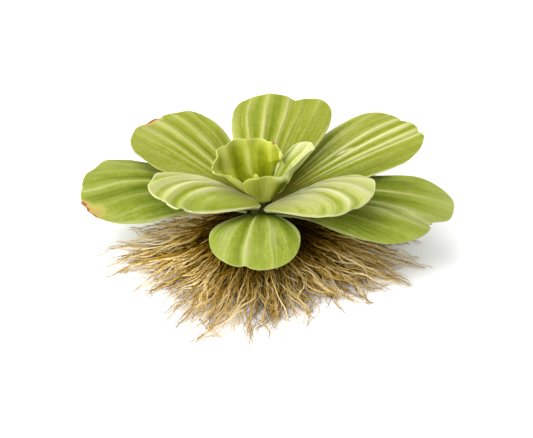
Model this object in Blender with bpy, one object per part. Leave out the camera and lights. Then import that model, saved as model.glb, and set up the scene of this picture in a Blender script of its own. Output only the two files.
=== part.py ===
"""Water lettuce: a floating rosette of ribbed leaves on a short crown, set down on its spread roots.

Metres and degrees, +Z up. The crown's axis is Z, the roots lie on Z = 0, and -Y is the front.
"""

import math
import random
from dataclasses import dataclass

import bmesh
import bpy
import numpy as np
from mathutils import Vector

GAP = 0.0003  # between neighbours that touch
CREASE_ANGLE = math.radians(14)

# ---- Crown: (radius, height) from the foot up ----
CROWN_FOOT = 0.012
CROWN_PROFILE = (
    (0.0045, CROWN_FOOT),
    (0.0066, 0.0150),
    (0.0068, 0.0270),
    (0.0062, 0.0300),
    (0.0056, 0.0330),
    (0.0050, 0.0360),
    (0.0034, 0.0378),
)
CROWN_TOP = 0.0384
CROWN_SIDES = 20

# ---- Leaves ----
PLEATS = 7
ROWS = 8
SPINE_STEPS = 60
LEAF_THICKNESS = 0.0024  # in the middle of the base
MARGIN_SHARE = 0.35  # of that thickness, left at the margins
TIP_THINNING = 0.6
PLEAT_SHARE = 0.052  # height of a pleat's crest, as a share of half the blade's width
PLEAT_START = 1 / 3  # share of the length by which the pleats have their full height
ROLL_START = 1 / 2  # share of the length by which the blade has its full roll


@dataclass
class Leaf:
    """One blade: where it grows from the crown, its flat outline, and how it is bent and cupped."""

    side: float  # side of the crown that it grows from, anticlockwise from +X
    height: float  # of its base above the floor
    heading: float  # the way it points as it leaves the crown
    length: float
    width: float
    rise: float  # pitch at the base
    tip_pitch: float
    turn: float = 0.0  # how far the midrib has turned in plan at the tip
    roll: float = 0.0  # tilt about the midrib, left margin up
    left_cup: float = 0.0  # angle that the margin has bent up from flat
    right_cup: float = 0.0
    base_cup: float = 0.0  # share of the cup that is already there at the base
    left_lip: float = 0.0  # extra lift of the margin itself
    right_lip: float = 0.0
    lean: float = 0.0  # how much wider the left half is, as a share
    base_half: float = 0.0050
    widest: float = 0.65  # share of the length at which the side margins end
    shoulder: float = 1.2  # above 1 keeps the base narrow for longer
    blunt: float = 0.8  # below 1 squares off the tip
    skew: float = 0.0  # how much farther the left margin runs
    notch_depth: float = 0.0
    notch_place: float = 0.0  # from -1 at the right margin to 1 at the left
    notch_spread: float = 0.12


LEAVES = {
    "leaf_far_left": Leaf(
        side=180, height=0.0290, heading=164, length=0.096, width=0.052, rise=8, tip_pitch=-3, turn=-3,
        roll=-13, left_cup=-20, right_cup=-20, lean=0.10,
        base_half=0.0040, widest=0.70, shoulder=1.6, blunt=0.75,
    ),
    "leaf_back_left": Leaf(
        side=159, height=0.0318, heading=138, length=0.090, width=0.0485, rise=18, tip_pitch=2, turn=-2,
        roll=-14, left_cup=15, right_cup=10, lean=-0.13,
        base_half=0.0048, widest=0.66, shoulder=1.25, blunt=0.97,
    ),
    "leaf_back": Leaf(
        side=83, height=0.0343, heading=77, length=0.073, width=0.056, rise=37, tip_pitch=13,
        roll=-2, base_half=0.0055, widest=0.70, blunt=0.67,
        notch_depth=0.004, notch_place=-0.10, notch_spread=0.20,
    ),
    "leaf_back_right": Leaf(
        side=20, height=0.0315, heading=30, length=0.0985, width=0.043, rise=18, tip_pitch=5, turn=2,
        roll=14, left_cup=16, lean=0.13, base_half=0.0046, widest=0.70, shoulder=1.36, blunt=0.97,
        notch_depth=0.0015, notch_place=0.10,
    ),
    "leaf_far_right": Leaf(
        side=-8, height=0.0280, heading=-2, length=0.096, width=0.055, rise=10, tip_pitch=-3, turn=-14,
        roll=12, left_cup=-8, right_cup=-15, lean=0.06, widest=0.65, shoulder=1.35, blunt=0.95,
        notch_depth=0.008, notch_place=-0.20, notch_spread=0.14,
    ),
    "leaf_front_left": Leaf(
        side=254, height=0.0355, heading=183, length=0.060, width=0.0385, rise=17, tip_pitch=7, turn=-2,
        roll=-8, right_cup=-19, base_half=0.0022, widest=0.61, shoulder=0.88, blunt=0.77,
    ),
    "leaf_front_right": Leaf(
        side=-71, height=0.0335, heading=-10, length=0.060, width=0.038, rise=17, tip_pitch=15, turn=4,
        roll=8, left_cup=-15, lean=0.05, base_half=0.0024, widest=0.62, shoulder=1.0, blunt=0.94,
    ),
    "leaf_front": Leaf(
        side=268, height=0.0290, heading=268, length=0.051, width=0.048, rise=14, tip_pitch=-22,
        roll=-2, left_cup=-5, right_cup=-8, lean=-0.05,
        base_half=0.0060, widest=0.50, shoulder=0.9, blunt=0.75,
        notch_depth=0.0015, notch_place=-0.15, notch_spread=0.10,
    ),
    "inner_leaf_back": Leaf(
        side=110, height=0.0362, heading=112, length=0.030, width=0.039, rise=36, tip_pitch=80, turn=-7,
        roll=-32, left_cup=90, right_cup=34, base_cup=0.5, left_lip=0.011, right_lip=0.002, lean=0.16,
        base_half=0.0050, widest=0.55, shoulder=0.3, blunt=0.6,
    ),
    "inner_leaf_front": Leaf(
        side=280, height=0.0362, heading=282, length=0.0175, width=0.025, rise=73, tip_pitch=75, roll=-3,
        left_cup=13, right_cup=24, base_cup=0.6, right_lip=0.001, lean=0.07, skew=0.0040,
        base_half=0.0038, widest=0.55, shoulder=1.0, blunt=0.85,
    ),
    "inner_leaf_right": Leaf(
        side=8, height=0.0366, heading=14, length=0.036, width=0.015, rise=62, tip_pitch=32, roll=6,
        left_cup=0, right_cup=10, base_cup=0.4, lean=-0.18,
        base_half=0.0026, widest=0.60, shoulder=1.6, blunt=0.75,
    ),
    "bud_leaf": Leaf(
        side=218, height=0.0368, heading=218, length=0.014, width=0.0090, rise=84, tip_pitch=104,
        left_cup=70, right_cup=70, base_cup=0.2, base_half=0.0018, widest=0.45, shoulder=0.9, blunt=1.1,
    ),
}
INNER_PLEATS = 5
INNER_ROWS = 6
INNER_THICKNESS = 0.0014
BUD_PLEATS = 3
BUD_ROWS = 4
BUD_THICKNESS = 0.0009

# ---- Roots: one tuft for each reach, anticlockwise from +X ----
TUFT_REACH = (
    0.092, 0.086, 0.080, 0.074, 0.070, 0.070, 0.073, 0.077, 0.082,
    0.091, 0.085, 0.078, 0.089, 0.090, 0.081, 0.070, 0.077, 0.092,
)
TUFT_START = 0.0072
TUFT_TOP = 0.0250
TUFT_TIP = 0.0010
TUFT_SLOPE = 1.5
CENTRE_TUFT_TOP_RADIUS = 0.0050
LOCKS = 4
LOCK_SPLIT = 0.55  # share of the reach at which the locks part
SHORTEST_LOCK = 0.84  # as a share of its tuft's reach
LOCK_BEND = 0.9  # sideways at the tip, at most, as a share of half the lock's lane
LOCK_TAPER = 0.8
VALLEY_DEPTH = 0.30
ROWS_BEFORE_SPLIT = 4
ROWS_AFTER_SPLIT = 3
ROOT_SEED = 1223

# ---- Colours, from the photo: base colour and roughness ----
OUTER_GREEN = ((0.27, 0.36, 0.05), 0.60)
PALE_GREEN = ((0.50, 0.60, 0.20), 0.60)
HEART_GREEN = ((0.42, 0.52, 0.07), 0.60)
CROWN_GREEN = ((0.35, 0.38, 0.12), 0.70)
ROOT_TAN = ((0.42, 0.27, 0.09), 0.85)


def make_material(name, finish):
    colour, roughness = finish
    material = bpy.data.materials.new(name)
    material.use_nodes = True
    shader = material.node_tree.nodes["Principled BSDF"]
    shader.inputs["Base Color"].default_value = (*colour, 1.0)
    shader.inputs["Roughness"].default_value = roughness
    shader.inputs["Metallic"].default_value = 0.0
    return material


def add_object(name, mesh_data, material):
    """Turns the bmesh into a named, smooth-shaded object in the scene."""
    mesh = bpy.data.meshes.new(name)
    mesh_data.to_mesh(mesh)
    mesh_data.free()
    mesh.shade_smooth()
    mesh.set_sharp_from_angle(angle=CREASE_ANGLE)
    mesh.materials.append(material)
    added = bpy.data.objects.new(name, mesh)
    bpy.context.scene.collection.objects.link(added)
    return added


def crown_radius(height):
    radii = [radius for radius, _ in CROWN_PROFILE]
    heights = [level for _, level in CROWN_PROFILE]
    return float(np.interp(height, heights, radii))


def build_crown(material):
    """The short squat stem, turned about Z."""
    turned = bmesh.new()
    profile = [(0.0, CROWN_FOOT), *CROWN_PROFILE, (0.0, CROWN_TOP)]
    points = [turned.verts.new((radius, 0.0, height)) for radius, height in profile]
    edges = [turned.edges.new(pair) for pair in zip(points, points[1:])]
    bmesh.ops.spin(
        turned, geom=points + edges, cent=(0, 0, 0), axis=(0, 0, 1), angle=math.tau, steps=CROWN_SIDES,
        use_merge=True,
    )
    bmesh.ops.remove_doubles(turned, verts=turned.verts, dist=1e-6)
    bmesh.ops.recalc_face_normals(turned, faces=turned.faces)
    return add_object("crown", turned, material)


def walk_spine(leaf):
    """The midrib, walked in short steps: shares of the length, places, pitches and turns."""
    shares = np.linspace(0.0, 1.0, SPINE_STEPS + 1)
    pitch = np.radians(leaf.rise + (leaf.tip_pitch - leaf.rise) * shares)
    turn = np.radians(leaf.turn * shares)
    ahead = np.stack([np.cos(pitch) * np.cos(turn), np.cos(pitch) * np.sin(turn), np.sin(pitch)], axis=1)
    steps = (ahead[1:] + ahead[:-1]) / 2 * leaf.length / SPINE_STEPS
    places = np.vstack([np.zeros(3), np.cumsum(steps, axis=0)])
    return shares, places, pitch, turn


def reach_of_vein(leaf, across):
    """How far along the leaf the vein at this place across it runs."""
    tip = (1 - leaf.widest) * math.cos(math.pi / 2 * min(abs(across), 1.0)) ** leaf.blunt
    notch = leaf.notch_depth * math.exp(-(((across - leaf.notch_place) / leaf.notch_spread) ** 2))
    longer = min(max((across + 0.4) / 1.4, 0.0), 1.0)
    return leaf.length * (leaf.widest + tip) + leaf.skew * longer**2 * (3 - 2 * longer) - notch


def leaf_point(leaf, spine, along, across, pleats):
    """A point of the upper face. along is 0 to 1 up the vein, across is -1 (right margin) to 1 (left)."""
    growth = math.sin(math.pi / 2 * along) ** leaf.shoulder
    if across > 0:
        lean, cup, lip = leaf.lean, leaf.left_cup, leaf.left_lip
    else:
        lean, cup, lip = -leaf.lean, leaf.right_cup, leaf.right_lip
    half = leaf.base_half + (leaf.width / 2 * (1 + lean) - leaf.base_half) * growth
    offset = half * math.sin(math.pi / 2 * across)

    # The half blade is bent up into an arc of a circle, and the margin is then lifted on its own.
    bend = math.radians(cup) * (leaf.base_cup + (1 - leaf.base_cup) * growth) * abs(offset) / half
    outward = offset * (math.sin(bend) / bend if abs(bend) > 1e-6 else 1.0)
    lift = abs(offset) * ((1 - math.cos(bend)) / bend if abs(bend) > 1e-6 else 0.0)
    lift += lip * max(0.0, 2 * abs(across) - 1) ** 2 * growth
    crest = PLEAT_SHARE * half * min(1.0, along / PLEAT_START) * (1 - along**4) * (1 - across**2)
    lift += crest * math.cos(math.pi * pleats * (across + 1))

    shares, places, pitches, turns = spine
    share = along * reach_of_vein(leaf, across) / leaf.length
    place = Vector([float(np.interp(share, shares, places[:, axis])) for axis in range(3)])
    pitch = float(np.interp(share, shares, pitches))
    turn = float(np.interp(share, shares, turns))
    left = Vector((-math.sin(turn), math.cos(turn), 0.0))
    up = Vector((-math.sin(pitch) * math.cos(turn), -math.sin(pitch) * math.sin(turn), math.cos(pitch)))
    roll = math.radians(leaf.roll) * min(1.0, share / ROLL_START)
    rolled_left = left * math.cos(roll) + up * math.sin(roll)
    rolled_up = up * math.cos(roll) - left * math.sin(roll)
    return place + rolled_left * outward + rolled_up * lift


def base_distance(leaf, thickness):
    """How far the middle of the base is from the axis, so that its straight edge just clears the crown."""
    middle = leaf.height - thickness / 2 * math.cos(math.radians(leaf.rise))
    clear = crown_radius(middle) + GAP
    skew = abs(math.radians(leaf.heading - leaf.side))
    distance = clear / math.cos(skew)
    if distance * math.sin(skew) <= leaf.base_half:
        return distance
    return leaf.base_half * math.sin(skew) + math.sqrt(clear**2 - (leaf.base_half * math.cos(skew)) ** 2)


def build_leaf(name, leaf, material, pleats, rows, thickness):
    """A grid bent to the blade's upper face, then thickened downwards, thinner towards the margin."""
    sheet = bmesh.new()
    bmesh.ops.create_grid(sheet, x_segments=rows, y_segments=2 * pleats, size=1.0)
    spine = walk_spine(leaf)
    fullness = []
    for vertex in sheet.verts:
        along = (vertex.co.x + 1) / 2
        across = vertex.co.y
        fullness.append((1 - abs(across) ** 3) * (1 - TIP_THINNING * along**2))
        vertex.co = leaf_point(leaf, spine, along, across, pleats)
    blade = add_object(name, sheet, material)

    weights = blade.vertex_groups.new(name="fullness")
    for index, share in enumerate(fullness):
        weights.add([index], share, "REPLACE")
    solid = blade.modifiers.new("thickness", "SOLIDIFY")
    solid.thickness = thickness
    solid.offset = -1.0
    solid.vertex_group = weights.name
    solid.thickness_vertex_group = MARGIN_SHARE

    side = math.radians(leaf.side)
    radius = base_distance(leaf, thickness)
    blade.location = (radius * math.cos(side), radius * math.sin(side), leaf.height)
    blade.rotation_euler = (0.0, 0.0, math.radians(leaf.heading))
    return blade


def build_centre_tuft(material):
    """The roots straight under the crown, pressed flat."""
    tuft = bmesh.new()
    depth = CROWN_FOOT - GAP
    bmesh.ops.create_cone(
        tuft, cap_ends=True, segments=CROWN_SIDES, radius1=TUFT_START - GAP,
        radius2=CENTRE_TUFT_TOP_RADIUS, depth=depth,
    )
    bmesh.ops.translate(tuft, verts=tuft.verts, vec=(0, 0, depth / 2))
    return add_object("root_tuft_centre", tuft, material)


def tuft_height(share):
    return TUFT_TIP + (TUFT_TOP - TUFT_TIP) * (1 - share) ** TUFT_SLOPE


def build_tuft(name, azimuth, reach, draw, material):
    """One wedge of matted roots: ridged locks that part into separate pointed tips, flat underneath."""
    tuft = bmesh.new()
    wedge = math.tau / len(TUFT_REACH)
    lane = wedge / LOCKS
    split_radius = TUFT_START + LOCK_SPLIT * (reach - TUFT_START)

    def add_point(radius, angle, height):
        return tuft.verts.new((radius * math.cos(angle), radius * math.sin(angle), height))

    rows = []
    for row in range(ROWS_BEFORE_SPLIT + 1):
        share = LOCK_SPLIT * row / ROWS_BEFORE_SPLIT
        radius = TUFT_START + share * (reach - TUFT_START)
        half = wedge / 2 - GAP / 2 / radius
        points = []
        for column in range(2 * LOCKS + 1):
            angle = azimuth + half * (column / LOCKS - 1)
            valley = VALLEY_DEPTH * (1 - column % 2) * min(1.0, 2 * share)
            points.append(add_point(radius, angle, tuft_height(share) * (1 - valley)))
        rows.append(points)
    for inner, outer in zip(rows, rows[1:]):
        for column in range(2 * LOCKS):
            tuft.faces.new((inner[column], outer[column], outer[column + 1], inner[column + 1]))

    for lock in range(LOCKS):
        lock_reach = reach * draw.uniform(SHORTEST_LOCK, 1.0)
        bend = draw.uniform(-LOCK_BEND, LOCK_BEND)
        middle = azimuth + lane * (lock - (LOCKS - 1) / 2)
        last = rows[-1][2 * lock : 2 * lock + 3]
        for row in range(1, ROWS_AFTER_SPLIT + 1):
            part = row / ROWS_AFTER_SPLIT
            radius = split_radius + part * (lock_reach - split_radius)
            narrowing = (1 - part) ** LOCK_TAPER
            half = max((lane / 2 - GAP / 2 / radius) * narrowing, TUFT_TIP / 3 / radius)
            angle = middle + bend * (lane / 2 - GAP / radius) * (1 - narrowing)
            ridge = tuft_height(LOCK_SPLIT + part * (1 - LOCK_SPLIT))
            edge = ridge * (1 - VALLEY_DEPTH)
            points = [
                add_point(radius, angle - half, edge),
                add_point(radius, angle, ridge),
                add_point(radius, angle + half, edge),
            ]
            tuft.faces.new((last[0], points[0], points[1], last[1]))
            tuft.faces.new((last[1], points[1], points[2], last[2]))
            last = points

    lowered = bmesh.ops.extrude_face_region(tuft, geom=list(tuft.faces), use_keep_orig=True)
    for element in lowered["geom"]:
        if isinstance(element, bmesh.types.BMVert):
            element.co.z = 0.0
    bmesh.ops.recalc_face_normals(tuft, faces=tuft.faces)
    return add_object(name, tuft, material)


def main():
    for old in list(bpy.data.objects):
        bpy.data.objects.remove(old, do_unlink=True)

    root_material = make_material("roots", ROOT_TAN)
    build_crown(make_material("crown", CROWN_GREEN))
    build_centre_tuft(root_material)
    draw = random.Random(ROOT_SEED)
    for number, reach in enumerate(TUFT_REACH):
        azimuth = math.tau * number / len(TUFT_REACH)
        build_tuft(f"root_tuft_{number + 1:02d}", azimuth, reach, draw, root_material)

    outer = make_material("outer_leaf", OUTER_GREEN)
    pale = make_material("front_leaf", PALE_GREEN)
    heart = make_material("inner_leaf", HEART_GREEN)
    for name, leaf in LEAVES.items():
        if name == "bud_leaf":
            build_leaf(name, leaf, heart, BUD_PLEATS, BUD_ROWS, BUD_THICKNESS)
        elif name.startswith("inner"):
            build_leaf(name, leaf, heart, INNER_PLEATS, INNER_ROWS, INNER_THICKNESS)
        else:
            material = pale if name in ("leaf_front_left", "leaf_front_right") else outer
            build_leaf(name, leaf, material, PLEATS, ROWS, LEAF_THICKNESS)


main()
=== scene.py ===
import math
import random

import bpy
import numpy as np
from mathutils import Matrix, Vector


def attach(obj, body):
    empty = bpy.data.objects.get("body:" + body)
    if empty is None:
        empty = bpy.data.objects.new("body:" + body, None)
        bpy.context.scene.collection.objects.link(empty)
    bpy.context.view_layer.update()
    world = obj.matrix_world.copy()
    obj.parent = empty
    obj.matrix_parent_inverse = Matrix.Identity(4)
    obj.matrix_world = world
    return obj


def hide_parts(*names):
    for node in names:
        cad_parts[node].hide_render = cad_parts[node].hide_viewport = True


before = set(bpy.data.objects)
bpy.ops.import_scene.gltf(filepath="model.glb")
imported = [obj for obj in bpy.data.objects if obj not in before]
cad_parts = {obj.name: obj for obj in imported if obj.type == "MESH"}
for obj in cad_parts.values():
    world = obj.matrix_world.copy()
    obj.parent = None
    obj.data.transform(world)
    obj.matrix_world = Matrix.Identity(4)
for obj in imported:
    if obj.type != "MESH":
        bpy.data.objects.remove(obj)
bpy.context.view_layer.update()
print("frame loaded")


def clearSelection():
    bpy.ops.object.select_all(action="DESELECT")


def applyModifier(piece, modifier):
    bpy.context.view_layer.objects.active = piece
    bpy.ops.object.modifier_apply(modifier=modifier.name)


def storeFloats(piece, name, values):
    # One number for each vertex, for a material to read.
    attribute = piece.data.attributes.new(name, "FLOAT", "POINT")
    attribute.data.foreach_set("value", np.asarray(values, np.float32))


def readPlaces(piece):
    places = np.empty(len(piece.data.vertices) * 3, np.float32)
    piece.data.vertices.foreach_get("co", places)
    return places.reshape(-1, 3)


def writePlaces(piece, places):
    piece.data.vertices.foreach_set("co", np.asarray(places, np.float32).ravel())
    piece.data.update()


def smoothStep(value, low, high):
    share = np.clip((value - low) / (high - low), 0, 1)
    return share * share * (3 - 2 * share)


# Materials: small helpers that add nodes and hand back sockets.

def addNode(tree, kind, **settings):
    node = tree.nodes.new(kind)
    for key, value in settings.items():
        setattr(node, key, value)
    return node


def plug(tree, socket, value):
    if isinstance(value, bpy.types.NodeSocket):
        tree.links.new(value, socket)
    else:
        socket.default_value = value


def maths(tree, operation, *values, clamp=False):
    node = addNode(tree, "ShaderNodeMath", operation=operation, use_clamp=clamp)
    for socket, value in zip(node.inputs, values):
        plug(tree, socket, value)
    return node.outputs[0]


def readFloat(tree, name):
    return addNode(tree, "ShaderNodeAttribute", attribute_name=name).outputs["Fac"]


def noiseOf(tree, place, scale, detail=2.0, roughness=0.5):
    node = addNode(tree, "ShaderNodeTexNoise")
    plug(tree, node.inputs["Vector"], place)
    node.inputs["Scale"].default_value = scale
    node.inputs["Detail"].default_value = detail
    node.inputs["Roughness"].default_value = roughness
    return node.outputs["Fac"]


def rampOf(tree, value, stops):
    node = addNode(tree, "ShaderNodeValToRGB")
    plug(tree, node.inputs["Fac"], value)
    points = node.color_ramp.elements
    while len(points) < len(stops):
        points.new(0.5)
    for point, (place, colour) in zip(points, stops):
        point.position = place
        point.color = (*colour, 1.0)
    return node.outputs["Color"]


def mixColours(tree, share, first, second):
    node = addNode(tree, "ShaderNodeMix", data_type="RGBA")
    plug(tree, node.inputs["Factor"], share)
    for socket, value in ((node.inputs[6], first), (node.inputs[7], second)):
        plug(tree, socket, value if isinstance(value, bpy.types.NodeSocket) else (*value, 1.0))
    return node.outputs[2]


def bandOf(tree, value, low, high):
    node = addNode(tree, "ShaderNodeMapRange", interpolation_type="SMOOTHSTEP")
    plug(tree, node.inputs["Value"], value)
    node.inputs["From Min"].default_value = low
    node.inputs["From Max"].default_value = high
    return node.outputs["Result"]


def layOver(tree, colour, upper, value, low, high, share):
    # The upper colour comes in as the value goes from low to high.
    amount = maths(tree, "MULTIPLY", bandOf(tree, value, low, high), share)
    return mixColours(tree, amount, colour, upper)


def vary(tree, value, pattern, amount, clamp=False):
    # A pattern runs from 0 to 1, so its middle leaves the value as it is.
    return maths(tree, "MULTIPLY_ADD", maths(tree, "SUBTRACT", pattern, 0.5), amount, value, clamp=clamp)


def objectPlace(tree):
    return addNode(tree, "ShaderNodeTexCoord").outputs["Object"]


def roughen(tree, shader, relief, strength, distance):
    bump = addNode(tree, "ShaderNodeBump")
    bump.inputs["Strength"].default_value = strength
    bump.inputs["Distance"].default_value = distance
    plug(tree, bump.inputs["Height"], relief)
    plug(tree, shader.inputs["Normal"], bump.outputs["Normal"])


def newMaterial(name, finish):
    material = bpy.data.materials.new(name)
    material.use_nodes = True
    shader = material.node_tree.nodes["Principled BSDF"]
    for socketName, value in finish.items():
        shader.inputs[socketName].default_value = value
    return material, material.node_tree, shader


# Leaf tissue: velvety, pale along the veins and margins, darker in the troughs between them; the trough and
# crest tones are partly the tissue's own and partly painted shade in the troughs and painted highlight on
# the crests.

leafLook = {
    "finish": {
        "Roughness": 0.60, "Specular IOR Level": 0.045, "Sheen Weight": 0.008, "Sheen Roughness": 0.4,
        "Subsurface Weight": 0.30, "Subsurface Radius": (0.9, 1.0, 0.25), "Subsurface Scale": 0.0014,
    },
    "balance": (1.022, 0.988, 1.0),
    "cream": (0.68, 0.70, 0.38),
    "middleTone": 0.45,
    "pleatShare": 0.22,
    "fibresAcross": 6.0, "fibresAlong": 2.5, "streakShare": 1.7,
    "mottleScale": 140.0, "mottleShare": 0.6,
    "fleckScale": 520.0, "fleckShare": 0.8,
    "grainScale": 1500.0, "grainShare": 0.8,
    "threads": 4.0, "threadWander": 0.25, "threadSharpness": 6.0, "threadShare": 0.60,
    "threadBreaks": (0.40, 0.75),
    "footLayer": (0.40, 0.02, 0.85),  # starts, is full, share
    "tipLayer": (0.5, 1.0, 0.45),
    "veinSharpness": 90.0, "veinBreaks": (0.2, 0.7),
    "underVeinShare": 0.3,
    "rimFull": 0.0001,
    "dryMottle": 0.5,
    "dryLayers": (  # colour, starts, is full, share
        ((0.36, 0.33, 0.08), 0.10, 0.50, 0.7), ((0.38, 0.22, 0.08), 0.45, 0.70, 1.0),
        ((0.22, 0.085, 0.035), 0.70, 1.0, 1.0),
    ),
    "hairStrength": 0.6, "hairRelief": 0.00018, "streakRelief": 1.2,
}

# In each tint the trough colour is partly painted shade and the crest colour partly painted highlight of
# the pleats.
leafTints = {
    "far": {
        "trough": (0.115, 0.165, 0.003), "body": (0.20, 0.255, 0.018), "crest": (0.31, 0.36, 0.085),
        "pale": (0.39, 0.42, 0.17), "deep": (0.050, 0.082, 0.0005), "foot": (0.09, 0.13, 0.002),
        "tip": (0.26, 0.31, 0.05), "under": (0.17, 0.22, 0.05),
    },
    "back": {
        "trough": (0.16, 0.21, 0.003), "body": (0.25, 0.29, 0.028), "crest": (0.36, 0.39, 0.105),
        "pale": (0.45, 0.46, 0.17), "deep": (0.10, 0.14, 0.001), "foot": (0.24, 0.24, 0.004),
        "tip": (0.28, 0.32, 0.045), "under": (0.17, 0.22, 0.05),
    },
    "streaked": {
        "trough": (0.15, 0.20, 0.003), "body": (0.24, 0.285, 0.025), "crest": (0.37, 0.40, 0.120),
        "pale": (0.60, 0.62, 0.31), "deep": (0.08, 0.105, 0.001), "foot": (0.17, 0.125, 0.006),
        "tip": (0.27, 0.31, 0.045), "under": (0.17, 0.22, 0.05),
    },
    # The pale tint of the front leaves and the inner right leaf is partly their paler tissue and partly
    # painted light on their upturned faces.
    "pale": {
        "trough": (0.21, 0.26, 0.018), "body": (0.30, 0.345, 0.065), "crest": (0.41, 0.44, 0.165),
        "pale": (0.52, 0.53, 0.32), "deep": (0.17, 0.22, 0.008), "foot": (0.28, 0.31, 0.04),
        "tip": (0.36, 0.39, 0.13), "under": (0.30, 0.34, 0.09),
    },
    "heart": {
        "trough": (0.17, 0.21, 0.001), "body": (0.24, 0.28, 0.004), "crest": (0.34, 0.38, 0.04),
        "pale": (0.44, 0.46, 0.14), "deep": (0.07, 0.09, 0.0005), "foot": (0.18, 0.20, 0.001),
        "tip": (0.33, 0.37, 0.05), "under": (0.34, 0.38, 0.035),
    },
}


def leafMaterial(leaf):
    look = leafLook
    material, tree, shader = newMaterial(leaf["name"] + "Tissue", look["finish"])
    # Each leaf's lightness scales its tint: partly the leaf's own tone, partly painted light on the
    # brighter leaves and painted shade on the darker ones.
    balance = [leaf["lightness"] * share for share in look["balance"]]
    colours = {
        part: tuple(share * value for share, value in zip(balance, colour))
        for part, colour in leafTints[leaf["tint"]].items()
    }
    place = objectPlace(tree)
    phase = readFloat(tree, "veinPhase")
    along = readFloat(tree, "leafAlong")
    edge = readFloat(tree, "leafEdge")
    height = readFloat(tree, "veinHeight")
    shade = readFloat(tree, "leafShade")

    # The grain of the blade: soft pleats, toned as painted highlight on their crests and painted shade in
    # their troughs as well as the tissue's own tone, streaks along the veins, mottling, flecks and fine
    # hair.
    swing = maths(tree, "COSINE", maths(tree, "MULTIPLY", phase, 2 * math.pi))
    crest = maths(tree, "MULTIPLY_ADD", swing, 0.5, 0.5)
    fibres = addNode(tree, "ShaderNodeCombineXYZ")
    plug(tree, fibres.inputs["X"], maths(tree, "MULTIPLY", phase, look["fibresAcross"]))
    plug(tree, fibres.inputs["Y"], maths(tree, "MULTIPLY", along, look["fibresAlong"]))
    streaks = noiseOf(tree, fibres.outputs["Vector"], 1.0, 5.0, 0.65)
    mottle = noiseOf(tree, place, look["mottleScale"], 3.0)
    flecks = noiseOf(tree, place, look["fleckScale"], 3.0, 0.6)
    grain = noiseOf(tree, place, look["grainScale"], 2.0)
    tone = maths(tree, "MULTIPLY", maths(tree, "MULTIPLY", swing, height), look["pleatShare"])
    tone = maths(tree, "ADD", tone, look["middleTone"])
    tone = vary(tree, tone, streaks, look["streakShare"])
    tone = vary(tree, tone, mottle, look["mottleShare"])
    tone = vary(tree, tone, flecks, look["fleckShare"])
    tone = vary(tree, tone, grain, look["grainShare"], clamp=True)
    colour = rampOf(tree, tone, (
        (0.0, colours["trough"]), (look["middleTone"], colours["body"]), (1.0, colours["crest"]),
    ))

    # Pale threads between the veins, broken up by the streaks.
    turns = vary(tree, phase, mottle, look["threadWander"])
    turns = maths(tree, "MULTIPLY", turns, 2 * math.pi * look["threads"])
    threads = maths(tree, "MULTIPLY_ADD", maths(tree, "COSINE", turns), 0.5, 0.5)
    threads = maths(tree, "POWER", threads, look["threadSharpness"])
    threads = maths(tree, "MULTIPLY", threads, bandOf(tree, streaks, *look["threadBreaks"]))
    threads = maths(tree, "MULTIPLY", threads, look["threadShare"])
    colour = mixColours(tree, threads, colour, colours["crest"])

    # Towards the crown the blade takes its foot colour, partly the base's own tint and partly painted shade
    # where the bases lie under the other leaves.
    colour = layOver(tree, colour, colours["foot"], along, *look["footLayer"])
    colour = layOver(tree, colour, colours["tip"], along, *look["tipLayer"])
    line = maths(tree, "MULTIPLY", maths(tree, "POWER", crest, look["veinSharpness"]), height)
    line = maths(tree, "MULTIPLY", line, bandOf(tree, streaks, *look["veinBreaks"]), clamp=True)
    colour = mixColours(tree, maths(tree, "MULTIPLY", line, leaf["veinLine"]), colour, colours["pale"])
    underVeins = maths(tree, "MULTIPLY", crest, look["underVeinShare"])
    under = mixColours(tree, underVeins, colours["under"], colours["pale"])
    colour = mixColours(tree, readFloat(tree, "leafUnder"), colour, under)
    # The paler and deeper marks of leafShade: the leaf's own markings together with painted light and
    # painted shade.
    colour = mixColours(tree, maths(tree, "MAXIMUM", shade, 0.0), colour, colours["pale"])
    darker = maths(tree, "MAXIMUM", maths(tree, "MULTIPLY", shade, -1.0), 0.0)
    colour = mixColours(tree, darker, colour, colours["deep"])
    colour = mixColours(tree, readFloat(tree, "leafScar"), colour, look["cream"])
    rimLayer = (leaf["rimBand"], look["rimFull"], leaf["rimShare"])
    colour = layOver(tree, colour, colours["pale"], edge, *rimLayer)

    dryness = vary(tree, readFloat(tree, "leafDry"), mottle, look["dryMottle"])
    for dryColour, low, high, share in look["dryLayers"]:
        colour = layOver(tree, colour, dryColour, dryness, low, high, share)
    plug(tree, shader.inputs["Base Color"], colour)
    relief = maths(tree, "MULTIPLY_ADD", streaks, look["streakRelief"], grain)
    roughen(tree, shader, relief, look["hairStrength"], look["hairRelief"])
    return material


# Leaves. Each is a grid laid on a bent midrib.
# along runs from 0 at the crown to 1 at the tip, and across from -1 at the right margin to 1 at the left.

crown = {
    "foot": 0.012,
    "top": 0.0384, "topRadius": 0.0012,
    "profile": (  # radius, height
        (0.0045, 0.012), (0.0066, 0.0150), (0.0068, 0.0270), (0.0062, 0.0300), (0.0056, 0.0330),
        (0.0050, 0.0360), (0.0034, 0.0378),
    ),
    "gap": 0.0003,
}

leafHabit = {
    "lengthways": 96, "crossways": 150, "tipCrowding": 1.25,
    "spineSteps": 60,
    "veinWander": 0.018,
    "notchPower": 1.4, "bitePower": 1.3, "biteCentre": 0.6,
    "fineRib": 0.00005,
    "marginRound": 0.0009, "marginShare": 0.26, "tipThinning": 0.6, "thinnestShare": 0.05,
    "ribHeight": 0.0006, "ribSharpness": 6, "ribClear": 0.004,
}

# Sizes are in metres and angles in degrees. A leaf gives what differs from the plain one. Its lists hold:
# veins: place across, height. notches: place across, depth, spread. bites: place on the rim, depth, spread.
# heels: place across, reach back, spread. ruffles: height, count, start.
# streaks: lane, spread, from, to, strength.
# curls, dry, scars and washes: along, across, spread along, spread across, height or strength.

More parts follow.
